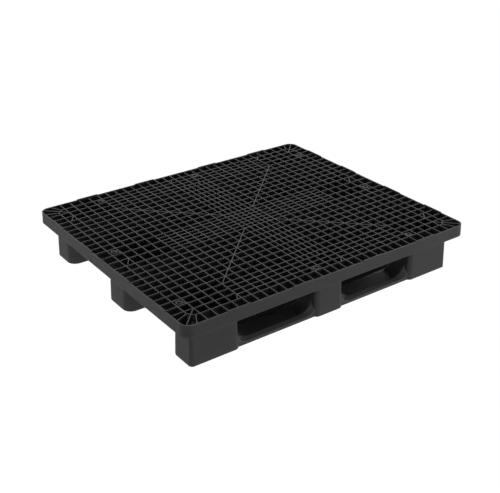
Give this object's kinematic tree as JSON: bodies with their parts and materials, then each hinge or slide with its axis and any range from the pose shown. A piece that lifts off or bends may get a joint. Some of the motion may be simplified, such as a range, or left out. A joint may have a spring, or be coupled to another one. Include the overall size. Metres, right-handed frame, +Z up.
{
  "type": "plastic pallet",
  "caption": "Open-grid plastic pallet: a ribbed deck with a skirt on hollow legs joined by runners along the long sides, with fork entries on every side.",
  "frame": {"origin": "centre of the footprint, on the floor under the runners", "axes": "+X along the long sides and the runners, +Y along the short sides, +Z up; the long side at -Y is the front"},
  "size_m": [1.2998, 1.0998, 0.198],
  "materials": {
    "deck": "fine moulded texture, charcoal black",
    "skid": "fine moulded texture, charcoal black",
    "screw_steel": "zinc plated"
  },
  "bodies": {
    "root": {"deck": "deck", "skid_front": "skid", "skid_middle": "skid", "skid_rear": "skid", "leg_screws": "screw_steel"}
  },
  "joints": []
}
